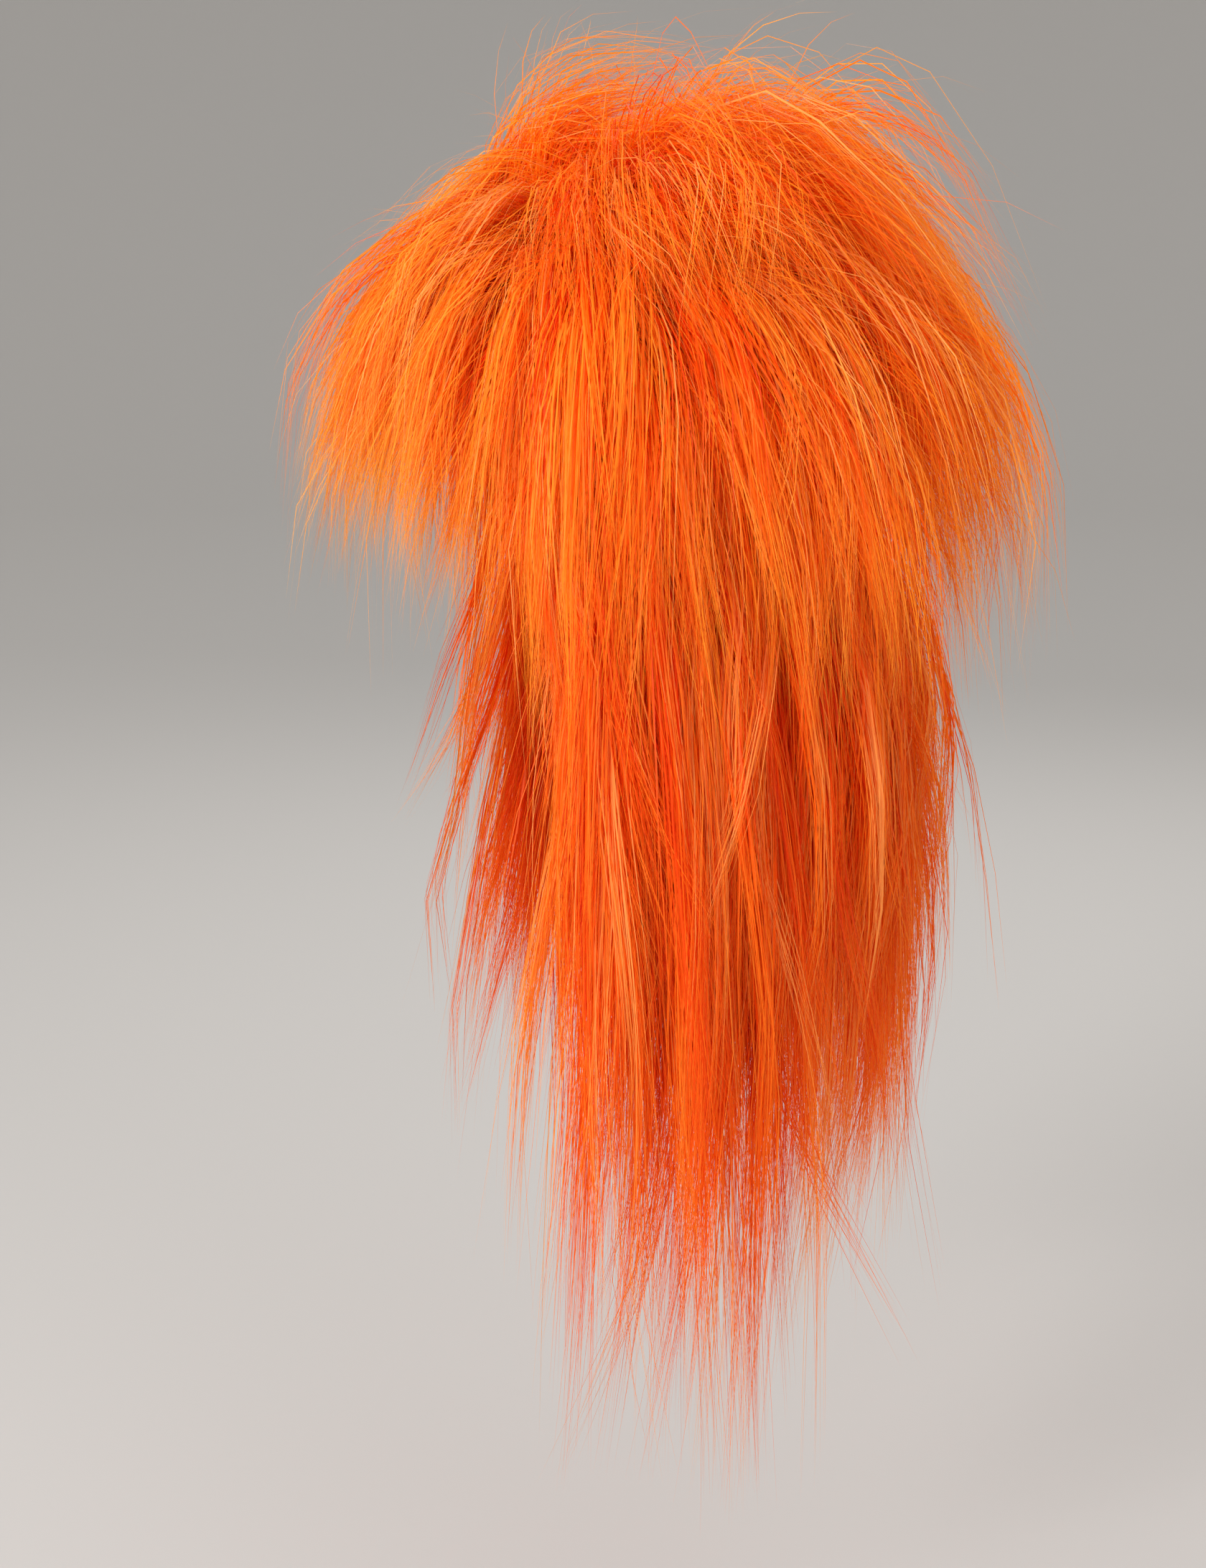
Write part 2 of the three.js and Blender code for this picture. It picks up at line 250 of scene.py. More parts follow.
capLook = {
    "lining": {"around": 120, "down": 30, "top": 0.0, "bottom": 0.99, "offset": 0.0, "wall": 0.0019,
               "girth": 0.55, "depth": 0.2},
    "ground": {"around": 120, "down": 30, "top": 0.0, "bottom": 0.99, "offset": 0.0022, "wall": 0.0024,
               "girth": 0.58, "depth": 0.21},
    "hem": {"around": 180, "section": 16, "offset": 0.0024, "wall": 0.0056, "height": 0.011,
            "drop": 0.0015, "girth": 0.54, "turn": 0.03, "squareness": 0.6,
            "probe": 0.02},  # the share of the way down over which the slope of the edge is read
}
knitLook = {
    "knitPitch": 0.0018,  # metres from one wale to the next, coarser than the real knit so that it shows
    "ribPitch": 0.0016,
    "oneBand": 0.314,  # wave scale that draws one band for each pitch
    "unevenWales": 0.6,  # how far wales and courses wander off straight
    "unevenCourses": 0.8,
    "mottleScale": 0.05,  # patches about twenty wales wide
    "mottle": 0.3,
    "shadeUpTo": 0.1,  # heights of the knit that take the shade and the full colour
    "colourFrom": 0.75,
    "loopHeight": 0.0004,  # metres
    "roughness": 0.85,
    "gloss": 0.25,
    "bloom": 0.2,
}


def knitMaterial(name, colour, shade, pitch, courses):  # courses for each wale set the rows apart
    material, tree, output = newMaterial(name)
    cloth = addNode(tree, "UVMap", {"uv_map": "clothMap"})
    scaled = addNode(tree, "VectorMath", {"operation": "SCALE", "Scale": 1 / pitch}, {0: cloth.outputs["UV"]})
    place = {"Vector": scaled.outputs["Vector"]}
    wales = addNode(tree, "TexWave", {
        "wave_type": "BANDS", "bands_direction": "X", "Scale": knitLook["oneBand"],
        "Distortion": knitLook["unevenWales"], "Detail": 1.0, "Detail Scale": 2.0}, place)
    rows = addNode(tree, "TexWave", {
        "wave_type": "BANDS", "bands_direction": "Y", "Scale": knitLook["oneBand"] * courses,
        "Distortion": knitLook["unevenCourses"], "Detail": 1.0, "Detail Scale": 2.0}, place)
    loops = addNode(tree, "Math", {"operation": "MULTIPLY"}, {
        0: wales.outputs["Fac"], 1: rows.outputs["Fac"]})
    mottle = addNode(tree, "TexNoise", {"Scale": knitLook["mottleScale"], "Detail": 3.0}, place)
    height = addNode(tree, "Math", {"operation": "MULTIPLY_ADD", 1: knitLook["mottle"]}, {
        0: mottle.outputs["Fac"], 2: loops.outputs["Value"]})
    hue = addNode(tree, "ValToRGB", links={"Fac": height.outputs["Value"]})
    setStops(hue, [(knitLook["shadeUpTo"], shade), (knitLook["colourFrom"], colour)])
    bump = addNode(tree, "Bump", {"Strength": 0.5, "Distance": knitLook["loopHeight"]}, {
        "Height": loops.outputs["Value"]})
    yarn = addNode(tree, "BsdfPrincipled", {
        "Roughness": knitLook["roughness"], "Specular IOR Level": knitLook["gloss"],
        "Sheen Weight": knitLook["bloom"], "Sheen Roughness": 0.5},
        {"Base Color": hue.outputs["Color"], "Normal": bump.outputs["Normal"]})
    tree.links.new(yarn.outputs["BSDF"], output.inputs["Surface"])
    return material


# Circular-knit polyester, dyed to match the pile: matt, with fine ribs and a dusty bloom
lining = headSheet("cap_lining", capLook["lining"])
lining.data.materials.append(
    knitMaterial("Circular_Knit_Polyester_Lining", "#C9501C", "#8E3410", knitLook["knitPitch"], 1.0))
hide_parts("cap")
# The fur's own ground, a closer knit that the pile is locked into
ground = headSheet("pile_ground", capLook["ground"])
ground.data.materials.append(
    knitMaterial("Sliver_Knit_Acrylic_Ground", "#E2500C", "#A83404", knitLook["knitPitch"], 1.4))
# Rib-knit elastic, stretched and sewn round the edge
hem = capHem(capLook["hem"])
hem.data.materials.append(
    knitMaterial("Rib_Knit_Elastic_Hem", "#B8481A", "#7A2C0E", knitLook["ribPitch"], 0.35))
print("cap lining, ground and hem made")

# Stations give the way a lock grows at one place round the head: degrees from the face,
# heading, forward lean for each length hung down, then knee, bend and tip as outward and
# upward shares of the layer's hair length.
crownStations = np.array([
    [0, 180, 0, -0.52, 0.28, -0.20, 0.62, 0.44, 0.54],
    [24, 142, 0, -0.34, 0.34, 0.00, 0.74, 0.50, 0.52],
    [48, 92, 0, 0.00, 0.38, 0.30, 0.50, 0.58, -0.16],
    [75, 106, 0, 0.04, 0.44, 0.38, 0.60, 0.72, -0.24],
    [110, 130, 0, 0.06, 0.50, 0.46, 0.76, 0.86, -0.20],
    [145, 155, 0, 0.07, 0.56, 0.50, 0.90, 0.88, -0.14],
    [180, 180, 0, 0.06, 0.58, 0.50, 0.96, 0.88, -0.12],
])
fringeStations = np.array([
    [0, 0, 0, 0.00, 0.38, 0.52, 0.38, 0.60, -0.52],
    [54, 56, 0, 0.04, 0.30, 0.46, 0.22, 0.46, -0.66],
])
sideStations = np.array([
    [46, 66, 0, 0.08, 0.32, 0.40, 0.14, 0.34, -0.60],
    [68, 94, 0, 0.10, 0.30, 0.48, 0.14, 0.42, -0.88],
    [95, 116, 0, 0.12, 0.30, 0.56, 0.16, 0.48, -0.92],
    [128, 144, 0, 0.16, 0.32, 0.62, 0.20, 0.58, -0.80],
])
backStations = np.array([
    [124, 136, 0, 0.16, 0.32, 0.64, 0.24, 0.60, -0.80],
    [180, 180, 0, 0.22, 0.36, 0.70, 0.40, 0.70, -0.56],
])
leftTailStations = np.array([
    [62, 98, -0.36, 0.07, -0.08, 0.08, -0.26, 0.08, -0.46],
    [78, 92, -0.24, 0.09, -0.06, 0.14, -0.36, 0.13, -0.74],
    [92, 90, 0.06, 0.10, -0.05, 0.16, -0.42, 0.165, -1.18],
    [130, 110, 0.03, 0.11, -0.06, 0.15, -0.40, 0.10, -0.92],
    [180, 180, 0, 0.12, -0.06, 0.16, -0.37, 0.09, -0.80],
])
rightTailStations = np.array([
    [66, 84, 0.13, 0.06, -0.10, 0.10, -0.48, 0.08, -0.88],
    [92, 88, 0.05, 0.10, -0.05, 0.15, -0.40, 0.14, -0.83],
    [130, 110, 0.03, 0.11, -0.06, 0.15, -0.40, 0.10, -0.92],
    [180, 180, 0, 0.12, -0.06, 0.16, -0.37, 0.09, -0.80],
])

# Rows tell, for hair from one level between crown (0) and edge (1), how far it reaches down,
# spreads out and lifts.
crownRows = np.array([[0.0, 1, 1.2, 1.02], [0.08, 1, 1, 1.0], [0.24, 1, 1, 0.95], [0.36, 1, 1, 0.85]])
fringeRows = np.array([
    [0.12, 1, 0.9, 1.3], [0.42, 1, 1, 1], [0.63, 0.95, 0.85, 0.7], [0.88, 0.86, 0.55, 0.35]])
sideRows = np.array([[0.4, 1, 1, 1], [0.58, 1, 0.86, 0.6], [0.75, 0.9, 0.6, 0.3]])
backRows = np.array([[0.4, 1, 1, 1], [0.58, 1, 0.9, 0.6], [0.75, 0.9, 0.66, 0.3]])
tailRows = np.array([[0.84, 0.6, 1.15, 1], [0.89, 0.7, 1.05, 1], [0.97, 1, 0.92, 1]])

# What the layers of one kind share: hair length in metres, sizes as shares of it, the levels
# between which it grows, rise as shares of the lift, turn and fray in degrees. Pulls draw
# strands into tufts towards their tips, drift and wander are how far they stray, in metres,
# and droop is the least share of the hang that stray hair keeps.
kinds = {
    "crown": {
        "left": crownStations, "right": crownStations, "rows": crownRows,
        "length": 0.17, "sizes": (0.84, 1.06), "top": 0.0, "bottom": 0.36,
        "segments": 7, "tufts": 44, "wisps": 9, "turn": 13, "fray": 11,
        "rise": (0.84, 1.2), "droop": 0.3, "drift": 0.019,
        "tuftPull": 0.35, "wispPull": 0.78, "tuftWander": 0.014, "strandWander": 0.003,
    },
    "fringe": {
        "left": fringeStations, "right": fringeStations, "rows": fringeRows,
        "length": 0.22, "sizes": (0.8, 1.08), "top": 0.15, "bottom": 0.98,
        "segments": 7, "tufts": 32, "wisps": 9, "turn": 8, "fray": 7,
        "rise": (0.75, 1.05), "droop": 0.5, "drift": 0.015,
        "tuftPull": 0.66, "wispPull": 0.88, "tuftWander": 0.010, "strandWander": 0.0022,
    },
    "side": {
        "left": sideStations, "right": sideStations, "rows": sideRows,
        "length": 0.205, "sizes": (0.6, 1.18), "top": 0.12, "bottom": 0.82,
        "segments": 7, "tufts": 36, "wisps": 9, "turn": 8, "fray": 6,
        "rise": (0.7, 1.05), "droop": 0.5, "drift": 0.017,
        "tuftPull": 0.76, "wispPull": 0.88, "tuftWander": 0.011, "strandWander": 0.0022,
    },
    "back": {
        "left": backStations, "right": backStations, "rows": backRows,
        "length": 0.21, "sizes": (0.62, 1.14), "top": 0.12, "bottom": 0.82,
        "segments": 7, "tufts": 40, "wisps": 9, "turn": 9, "fray": 8,
        "rise": (0.8, 1.1), "droop": 0.4, "drift": 0.016,
        "tuftPull": 0.45, "wispPull": 0.84, "tuftWander": 0.012, "strandWander": 0.0025,
    },
    "tail": {
        "left": leftTailStations, "right": rightTailStations, "rows": tailRows,
        "length": 0.48, "sizes": (0.66, 1.07), "top": 0.82, "bottom": 1.0,
        "segments": 6, "tufts": 22, "wisps": 9, "turn": 10, "fray": 4,
        "rise": (1, 1), "droop": 0.7, "drift": 0.021,
        "tuftPull": 0.74, "wispPull": 0.88, "tuftWander": 0.014, "strandWander": 0.0025,
    },
}
layers = [  # degrees round the head, from the face
    {"node": "nape_tail", "kind": "tail", "degrees": (152, 208), "strands": 5600, "slot": "tail_pile"},
    {"node": "left_back_tail", "kind": "tail", "degrees": (108, 151), "strands": 6400, "slot": "tail_pile"},
    {"node": "right_back_tail", "kind": "tail", "degrees": (209, 252), "strands": 5400, "slot": "tail_pile"},
    {"node": "left_front_tail", "kind": "tail", "degrees": (62, 107), "strands": 7200, "slot": "tail_pile"},
    {"node": "right_front_tail", "kind": "tail", "degrees": (253, 298), "strands": 6200, "slot": "tail_pile"},
    {"node": "left_side_layer", "kind": "side", "degrees": (44, 128), "strands": 7600, "slot": "side_pile"},
    {"node": "right_side_layer", "kind": "side", "degrees": (232, 316), "strands": 6400, "slot": "side_pile"},
    {"node": "back_layer", "kind": "back", "degrees": (124, 236), "strands": 7200, "slot": "back_pile"},
    {"node": "fringe", "kind": "fringe", "degrees": (-58, 58), "strands": 7200, "slot": "fringe_pile"},
    {"node": "crown_layer", "kind": "crown", "degrees": (0, 360), "strands": 9600, "slot": "crown_pile"},
]
pile = {
    "strandWidth": 0.00062,
    "widthSpread": 0.28,
    "taperAt": [0, 0.3, 0.7, 1],
    "taper": [0.7, 1, 0.85, 0],  # shares of the strand's width from root to tip
    "roll": (0.7, 0.5),  # radians, how strands lie turned about their length, and their twist to the tip
    "strayWisps": 0.16,  # share of wisps that leave their tuft and cross the others
    "flyaways": 0.16,  # share of strands that leave their tuft
    "shortest": 0.7,  # where the shortest strand of a tuft ends, as a share of the longest
    "margin": (0.018, 0.019, 0.028),  # how far pile may stand out of the frame's box
    "ease": 0.03,  # metres before that, where it starts to turn in
    "seed": 41,
}
shading = {  # painted shade: hair that more hair lies over takes a deeper, redder colour, as if lit only by light come through other fibres
    "cell": 0.008,  # metres, the grid that pile density is counted in
    "room": 0.1,  # metres that the grid reaches past the frame's box
    "looks": (0.01, 0.02, 0.034, 0.05, 0.07),  # metres outwards at which the cover over a point is read
    "busiest": 95,  # percentile of all covers that counts as the thickest
    "fullCover": 0.9,  # the share of that past which a strand takes its deepest painted shade
    # how far the fullest cover moves a strand down the tint scale, as painted shade
    "paintedShade": 0.85,
}
sway = {
    "cycles": (0.6, 1.2, 2.2),  # waves from root to tip
    "rates": (0.7, 1.3),  # by which each strand stretches or shortens them
    "growth": 1.2,  # the higher, the later the sway sets in
    "steps": 32,  # places along a wisp at which its sway is kept
}
combing = {
    "goldenSteps": (0.7548777, 0.5698403),  # they spread the tufts without holes
    "wholeBias": 0.55,  # draws the tufts of a layer that goes all round outwards, where it is wider
    "tuftRoom": (0.6, 0.9),  # how wide a tuft's roots spread, round and down, in tuft spacings
    "wispRoom": 0.35,  # the same for a wisp, as a share of its tuft's
    "wispSizes": (0.76, 1.1),
    "wispRises": (0.85, 1.1),
    "wispDrift": 0.7,  # a wisp's own sideways drift, as a share of its tuft's
    "strandSizes": (0.94, 1.04),
    "frayToRise": 90,  # degrees of fray for one whole unit of spread in the rise
    "endBias": 0.6,  # the lower, the more strands reach the full length
    "tuftGrip": 1.3,  # the higher, the nearer the tips tufts and wisps close up
    "wispGrip": 0.9,
    "driftGrowth": 1.6,
}
stray = {
    "wispTurn": 2.6,  # how much more a stray wisp turns
    "wispPull": 0.2,  # and how much less its tuft pulls it
    "sizes": (1, 1.25),  # from here on for single flyaway strands
    "turn": 24,
    "rises": (0.85, 1.35),
    "ends": (0.5, 1),  # shares of the length at which they end
    "pull": 0.15,
    "straight": 0.5,  # how much of their bend is taken out
    "wander": 0.006,
    "width": 0.62,
}
tinting = {  # 1 is the palest colour; the tint carries random dye tone as well as painted shade
    "outermost": 0.74,
    "innerShade": 0.16,  # painted shade, deepening from the outermost hair of a layer to the innermost
    "tufts": 0.09,  # spread from tuft to tuft, wisp to wisp and strand to strand
    "wisps": 0.2,
    "strands": 0.15,
    "stray": 0.08,  # how much paler flyaways are
}
strandMap = {"edge": 0.02, "span": 0.95, "half": 0.003}  # the map's rim, its reach and half a strand's width


def unit(ways):  # the same ways, each one long
    return ways / np.maximum(np.linalg.norm(ways, axis=-1, keepdims=True), 1e-12)


def pathPoints(kind, degrees, share, size, turn, rise, droop=1.0):  # the four points that steer each strand
    turned = degrees % 360
    side = np.where(turned > 180, -1.0, 1.0)
    around = np.where(turned > 180, 360 - turned, turned)
    left, right = kind["left"], kind["right"]
    columns = [np.where(side > 0, np.interp(around, left[:, 0], left[:, i]),
                        np.interp(around, right[:, 0], right[:, i])) for i in range(1, 9)]
    heading, lean, turns = columns[0], columns[1], columns[2:]
    reach, spread, lift = [np.interp(share, kind["rows"][:, 0], kind["rows"][:, i]) for i in (1, 2, 3)]
    angle = np.radians(heading + turn)
    outward = np.stack([side * np.sin(angle), -np.cos(angle), np.zeros_like(angle)], -1)
    length = kind["length"] * size
    points = [headPoint(degrees, share, head["capWall"])]
    for out, up in zip(turns[::2], turns[1::2]):
        height = up * np.where(up > 0, lift * rise, reach * droop) * length
        forward = np.minimum(height, 0) * lean
        place = points[0] + outward * (out * spread * length)[:, None]
        points.append(place + np.stack([np.zeros_like(height), forward, height], -1))
    return np.stack(points, 1)


def alongPath(points, share):  # cubic through four steering points, at shares of its length
    t = share[:, :, None]
    a, b, c, d = [points[:, i : i + 1] for i in range(4)]
    return a * (1 - t) ** 3 + b * 3 * t * (1 - t) ** 2 + c * 3 * t * t * (1 - t) + d * t ** 3


def waver(rng, count, share, reach):  # slow random sway that grows from root to tip
    total = np.zeros((count, share.shape[1], 3))
    for cycles in sway["cycles"]:
        way = unit(rng.normal(size=(count, 1, 3)))
        phase = rng.uniform(0, 2 * np.pi, (count, 1))
        rate = cycles * rng.uniform(*sway["rates"], (count, 1))
        total += way * (np.sin(2 * np.pi * rate * share + phase) - np.sin(phase))[:, :, None] / cycles
    return total * (reach * share ** sway["growth"])[:, :, None]


def eased(points, low, high):  # points turned in gently before they would leave a box
    ease = pile["ease"]
    over = np.maximum(points - (high - ease), 0)
    under = np.maximum(low + ease - points, 0)
    points = np.where(over > 0, high - ease * np.exp(-over / ease), points)
    return np.where(under > 0, low + ease * np.exp(-under / ease), points)


def growStrands(layer, rng):  # tufts first, then the wisps in them, then the strands in those
    kind = kinds[layer["kind"]]
    (start, end), top, bottom = layer["degrees"], kind["top"], kind["bottom"]
    whole = end - start == 360
    tufts, wisps, count = kind["tufts"], kind["tufts"] * kind["wisps"], layer["strands"]

    order = np.arange(tufts)
    aroundStep, downStep = combing["goldenSteps"]
    downBias = combing["wholeBias"] if whole else 1
    tuftDegrees = start + (end - start) * ((0.5 + order * aroundStep) % 1)
    tuftShare = top + (bottom - top) * ((0.5 + order * downStep) % 1) ** downBias
    tuftSize = rng.uniform(*kind["sizes"], tufts)
    tuftTurn = rng.normal(0, kind["turn"], tufts)
    tuftRise = rng.uniform(*kind["rise"], tufts)

    tuftOf = rng.integers(tufts, size=wisps)
    spreadDegrees = (end - start) / math.sqrt(tufts) * combing["tuftRoom"][0]
    spreadShare = (bottom - top) / math.sqrt(tufts) * combing["tuftRoom"][1]
    wispDegrees = tuftDegrees[tuftOf] + rng.normal(0, spreadDegrees, wisps)
    wispShare = tuftShare[tuftOf] + rng.normal(0, spreadShare, wisps)
    wispSize = tuftSize[tuftOf] * rng.uniform(*combing["wispSizes"], wisps)
    crossing = rng.uniform(size=wisps) < pile["strayWisps"]
    ownTurn = rng.normal(0, kind["turn"], wisps) * np.where(crossing, stray["wispTurn"], 1)
    wispTurn = tuftTurn[tuftOf] + ownTurn
    wispDroop = np.where(crossing, rng.uniform(kind["droop"], 1, wisps), 1)
    wispRise = tuftRise[tuftOf] * rng.uniform(*combing["wispRises"], wisps)
    wispDrift = rng.normal(0, kind["drift"], tufts)[tuftOf]
    wispDrift = wispDrift + rng.normal(0, kind["drift"] * combing["wispDrift"], wisps)

    wispOf = rng.integers(wisps, size=count)
    loose = rng.uniform(size=count) < pile["flyaways"]
    degrees = wispDegrees[wispOf] + rng.normal(0, spreadDegrees * combing["wispRoom"], count)
    share = wispShare[wispOf] + rng.normal(0, spreadShare * combing["wispRoom"], count)
    size = wispSize[wispOf] * rng.uniform(*combing["strandSizes"], count)
    size = size * np.where(loose, rng.uniform(*stray["sizes"], count), 1)
    turn = wispTurn[wispOf] + rng.normal(0, np.where(loose, stray["turn"], kind["fray"]))
    rise = wispRise[wispOf] * rng.normal(1, kind["fray"] / combing["frayToRise"], count)
    rise = rise * np.where(loose, rng.uniform(*stray["rises"], count), 1)
    if not whole:
        wispDegrees, degrees = [np.clip(d, start, end) for d in (wispDegrees, degrees)]
        tuftDegrees = np.clip(tuftDegrees, start, end)
    wispShare, share = [np.clip(s, top, bottom) for s in (wispShare, share)]

    rings = kind["segments"] + 1
    reach = pile["shortest"] + (1 - pile["shortest"]) * rng.uniform(0, 1, count) ** combing["endBias"]
    reach = np.where(loose, rng.uniform(*stray["ends"], count), reach)  # stray hair ends before it droops
    along = np.linspace(0, 1, rings)[None, :] * reach[:, None]
    tuftPath = pathPoints(kind, tuftDegrees, tuftShare, tuftSize, tuftTurn, tuftRise)
    wispPath = pathPoints(kind, wispDegrees, wispShare, wispSize, wispTurn, wispRise, wispDroop)
    droop = np.where(loose, rng.uniform(kind["droop"], 1, count), wispDroop[wispOf])
    strandPath = pathPoints(kind, degrees, share, size, turn, rise, droop)

    grid = np.linspace(0, 1, sway["steps"] + 1)
    swayed = waver(rng, wisps, np.tile(grid, (wisps, 1)), kind["tuftWander"])
    slot = np.clip((along * sway["steps"]).round().astype(int), 0, sway["steps"])
    wispWay = alongPath(wispPath[wispOf], along)
    tuftWay = alongPath(tuftPath[tuftOf[wispOf]], along)
    pull = (kind["tuftPull"] * np.where(crossing, stray["wispPull"], 1)[wispOf])[:, None, None]
    pull = pull * along[:, :, None] ** combing["tuftGrip"]
    wispWay = wispWay + (tuftWay - wispWay) * pull + swayed[wispOf[:, None], slot]
    own = alongPath(strandPath, along)
    line = own[:, :1] + (own[:, -1:] - own[:, :1]) * np.linspace(0, 1, rings)[None, :, None]
    own += (line - own) * np.where(loose, stray["straight"], 0)[:, None, None]
    hold = np.where(loose, stray["pull"], kind["wispPull"])[:, None] * along ** combing["wispGrip"]
    points = own + (wispWay - own) * hold[:, :, None]
    points += waver(rng, count, along, np.where(loose, stray["wander"], kind["strandWander"])[:, None])
    outward = strandPath[:, 3] - strandPath[:, 0]
    sideways = unit(np.stack([-outward[:, 1], outward[:, 0], np.zeros(count)], -1))
    drift = wispDrift[wispOf][:, None] * along ** combing["driftGrowth"]
    points += sideways[:, None, :] * drift[:, :, None]

    low = np.array(cadBox[0]) - pile["margin"]
    high = np.array(cadBox[1]) + pile["margin"]
    points = eased(points, low, high)

    depth = (share - top) / (bottom - top)  # 0 for the outermost hair, 1 for the innermost
    # painted shade: hair rooted lower on the head lies under the rest and is made deeper
    tint = tinting["outermost"] - tinting["innerShade"] * depth
    tint = tint + rng.normal(0, tinting["tufts"], tufts)[tuftOf[wispOf]]
    tint = tint + rng.normal(0, tinting["wisps"], wisps)[wispOf]
    tint = tint + rng.normal(0, tinting["strands"], count) + np.where(loose, tinting["stray"], 0)
    width = pile["strandWidth"] * rng.lognormal(0, pile["widthSpread"], count)
    width = width * np.where(loose, stray["width"], 1)
    return points, along, tint, width


def outwardOf(points):  # away from the middle of the head and, below it, from the neck's line
    middle = np.zeros_like(points)
    middle[:, :, 1] = head["neckLine"]
    middle[:, :, 2] = np.minimum(points[:, :, 2], head["middle"])
    return unit(points - middle)


def coverOver(groups):  # how much pile lies outside each point, from a grid of its density
    room, size = shading["room"], shading["cell"]
    low = np.array(cadBox[0]) - room
    shape = np.ceil((np.array(cadBox[1]) + room - low) / size).astype(int)
    density = np.zeros(shape)
    for points in groups:
        step = np.linalg.norm(np.diff(points, axis=1), axis=2)
        cell = ((points[:, 1:] - low) / size).astype(int).reshape(-1, 3)
        np.add.at(density, tuple(cell.T), step.reshape(-1))
    covers = []
    for points in groups:
        outward = outwardOf(points)
        cover = np.zeros(points.shape[:2])
        for rise in (0, 1):  # straight out, then half upwards, where the light comes from
            way = unit(outward + np.array([0, 0, rise]))
            for reach in shading["looks"]:
                cell = ((points + way * reach - low) / size).astype(int)
                cover += density[cell[..., 0], cell[..., 1], cell[..., 2]]
        covers.append(cover)
    thickest = np.percentile(np.concatenate([c.reshape(-1) for c in covers]), shading["busiest"])
    full = thickest * shading["fullCover"]
    return [np.clip(cover / full, 0, 1) for cover in covers]


def ribbonMesh(name, points, along, tint, width, rng):  # flat tapered strands, one mesh
    count, rings, _ = points.shape
    tangent = unit(np.gradient(points, axis=1))
    across = unit(np.cross(tangent, outwardOf(points)))
    turned, twist = pile["roll"]
    roll = rng.normal(0, turned, (count, 1)) + rng.normal(0, twist, (count, 1)) * along
    across = np.cos(roll)[:, :, None] * across + np.sin(roll)[:, :, None] * np.cross(tangent, across)
    place = np.linspace(0, 1, rings)
    taper = np.interp(place, pile["taperAt"], pile["taper"])
    half = across * (width[:, None] * taper[None, :] / 2)[:, :, None]

    corners = np.empty((count, 2 * rings - 1, 3))
    corners[:, 0 : 2 * rings - 2 : 2] = (points - half)[:, :-1]
    corners[:, 1 : 2 * rings - 2 : 2] = (points + half)[:, :-1]
    corners[:, -1] = points[:, -1]
    step = np.arange(rings - 2)[:, None] * 2
    quads = (step + np.array([0, 1, 3, 2])[None, :]).reshape(-1)
    loopsOfOne = np.concatenate([quads, [2 * rings - 4, 2 * rings - 3, 2 * rings - 2]])
    startsOfOne = np.concatenate([np.arange(rings - 2) * 4, [(rings - 2) * 4]])
    loops = (loopsOfOne[None, :] + np.arange(count)[:, None] * (2 * rings - 1)).reshape(-1)
    starts = (startsOfOne[None, :] + np.arange(count)[:, None] * len(loopsOfOne)).reshape(-1)

    mesh = bpy.data.meshes.new(name)
    mesh.vertices.add(count * (2 * rings - 1))
    mesh.vertices.foreach_set("co", corners.reshape(-1))
    mesh.loops.add(len(loops))
    mesh.loops.foreach_set("vertex_index", loops.astype(np.int32))
    mesh.polygons.add(len(starts))
    mesh.polygons.foreach_set("loop_start", starts.astype(np.int32))
    mesh.polygons.foreach_set("use_smooth", np.ones(len(starts), bool))
    mesh.update(calc_edges=True)

    edge, span, halfStrand = strandMap["edge"], strandMap["span"], strandMap["half"]
    flat = np.empty((count, 2 * rings - 1, 2))  # across the map by tint, up it from root to tip
    flat[:, 0 : 2 * rings - 2 : 2, 0] = edge - halfStrand + span * tint[:, :-1]
    flat[:, 1 : 2 * rings - 2 : 2, 0] = edge + halfStrand + span * tint[:, :-1]
    flat[:, -1, 0] = edge + span * tint[:, -1]
    flat[:, :-1, 1] = np.repeat(along[:, :-1], 2, axis=1)
    flat[:, -1, 1] = along[:, -1]
    flat[:, :, 1] = edge + span * flat[:, :, 1]
    mesh.uv_layers.new(name="OFBake").data.foreach_set("uv", flat.reshape(-1, 2)[loops].reshape(-1))
    piece = bpy.data.objects.new(name, mesh)
    scene.collection.objects.link(piece)
    return piece


fibreLook = {
    "ior": 1.5,
    "gloss": 0.2,
    "tipFrom": 0.5,  # share of the length past which the tip's colour comes in
    "tipShare": 0.35,
}
# Modacrylic fur pile, extruded fine, dyed neon orange in the fibre and heat-set straight:
# a soft, slightly waxy gloss and paler tips. The hot red-orange down between the roots is painted shade.
pileDyes = {
    "short": {
        "name": "Modacrylic_Pile_Short_Layers",
        "tints": [
            (0.0, "#E83000"), (0.25, "#FF6800"), (0.55, "#FF9416"), (0.85, "#FFA832"), (1.0, "#FFB868")],
        # painted shade: the red-orange deep down between the roots
        "root": "#FF4C00",
        "rootShadeUpTo": 0.5,  # share of the length that the painted root shade reaches up
        "rootShadeShare": 0.8,
        "tip": "#FF9E2E",
        "roughness": 0.5,
        "through": 0.5,
    },
    "fringe": {
        "name": "Modacrylic_Pile_Fringe",
        "tints": [
            (0.0, "#F84400"), (0.25, "#FF7400"), (0.55, "#FF9E1C"), (0.85, "#FFB03A"), (1.0, "#FFBE70")],
        "root": "#FF5000",
        "rootShadeUpTo": 0.5,
        "rootShadeShare": 0.8,
        "tip": "#FFB450",
        "roughness": 0.5,
        "through": 0.5,
    },
    "tail": {
        "name": "Modacrylic_Pile_Long_Tails",
        "tints": [
            (0.0, "#D82A00"), (0.25, "#F64A00"), (0.6, "#FF7A0A"), (0.85, "#FF982C"), (1.0, "#FFB060")],
        "root": "#F03A00",
        "rootShadeUpTo": 0.7,
        "rootShadeShare": 0.6,
        "tip": "#FF9630",
        "roughness": 0.48,
        "through": 0.5,
    },
}


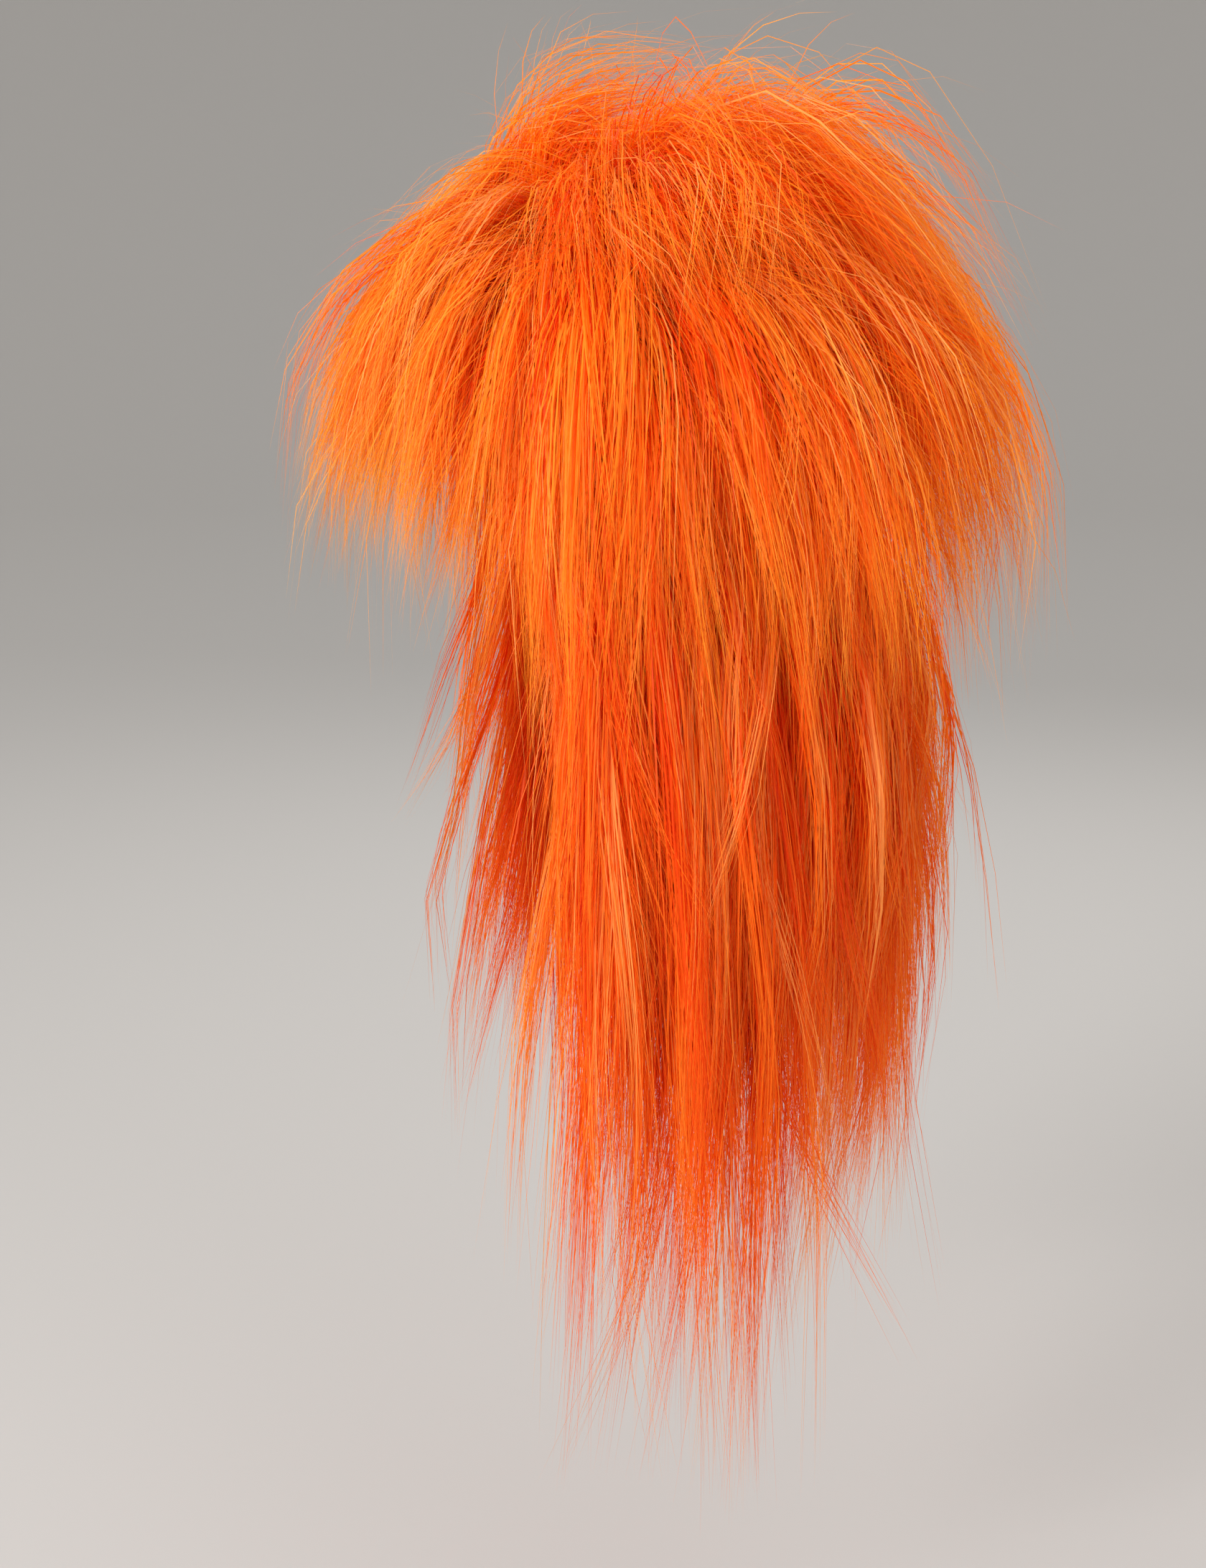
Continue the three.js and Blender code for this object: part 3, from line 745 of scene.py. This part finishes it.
def pileMaterial(dye):
    material, tree, output = newMaterial(dye["name"])
    place = addNode(tree, "UVMap", {"uv_map": "OFBake"})
    parts = addNode(tree, "SeparateXYZ", links={"Vector": place.outputs["UV"]})
    # the tint ramp: random dye tone, and at its deep end the painted shade of covered and inner hair
    tint = addNode(tree, "ValToRGB", links={"Fac": parts.outputs["X"]})
    setStops(tint, dye["tints"])
    # painted shade near the roots, fading out along the strand
    rootShadeShare = addNode(tree, "MapRange", {
        "From Min": strandMap["edge"], "From Max": dye["rootShadeUpTo"],
        "To Min": dye["rootShadeShare"], "To Max": 0.0},
        {"Value": parts.outputs["Y"]})
    rootShaded = addNode(tree, "Mix", {"data_type": "RGBA", 7: linearColour(dye["root"])}, {
        0: rootShadeShare.outputs["Result"], 6: tint.outputs["Color"]})
    tipShare = addNode(tree, "MapRange", {
        "From Min": fibreLook["tipFrom"], "From Max": 1.0,
        "To Min": 0.0, "To Max": fibreLook["tipShare"]},
        {"Value": parts.outputs["Y"]})
    tipped = addNode(tree, "Mix", {"data_type": "RGBA", 7: linearColour(dye["tip"])}, {
        0: tipShare.outputs["Result"], 6: rootShaded.outputs[2]})
    fibre = addNode(tree, "BsdfPrincipled", {
        "Roughness": dye["roughness"], "IOR": fibreLook["ior"], "Specular IOR Level": fibreLook["gloss"]},
        {"Base Color": tipped.outputs[2]})
    glow = addNode(tree, "BsdfTranslucent", links={"Color": tipped.outputs[2]})
    lit = addNode(tree, "MixShader", {0: dye["through"]}, {1: fibre.outputs["BSDF"], 2: glow.outputs["BSDF"]})
    tree.links.new(lit.outputs["Shader"], output.inputs["Surface"])
    return material


pileMaterials = {name: pileMaterial(dye) for name, dye in pileDyes.items()}
dyeOfKind = {"crown": "short", "fringe": "fringe", "side": "short", "back": "short", "tail": "tail"}

grown = []
for number, layer in enumerate(layers):
    rng = np.random.default_rng(pile["seed"] + number)
    grown.append((layer, rng, growStrands(layer, rng)))
print("strands combed:", sum(layer["strands"] for layer in layers))

triangles = 0
for (layer, rng, (points, along, tint, width)), cover in zip(grown, coverOver([g[2][0] for g in grown])):
    # painted shade: strands with more pile over them, outwards and upwards towards the lamps, take a deeper,
    # redder colour
    tints = np.clip(tint[:, None] - shading["paintedShade"] * cover, 0, 1)
    piece = ribbonMesh(layer["node"] + "_pile", points, along, tints, width, rng)
    piece.data.materials.append(pileMaterials[dyeOfKind[layer["kind"]]])
    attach(piece, "root")
    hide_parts(layer["node"])
    made = layer["strands"] * (2 * kinds[layer["kind"]]["segments"] - 1)
    triangles += made
    print("grown", piece.name, made, "triangles, mean cover", round(float(cover.mean()), 2))
print("pile grown:", triangles, "triangles")
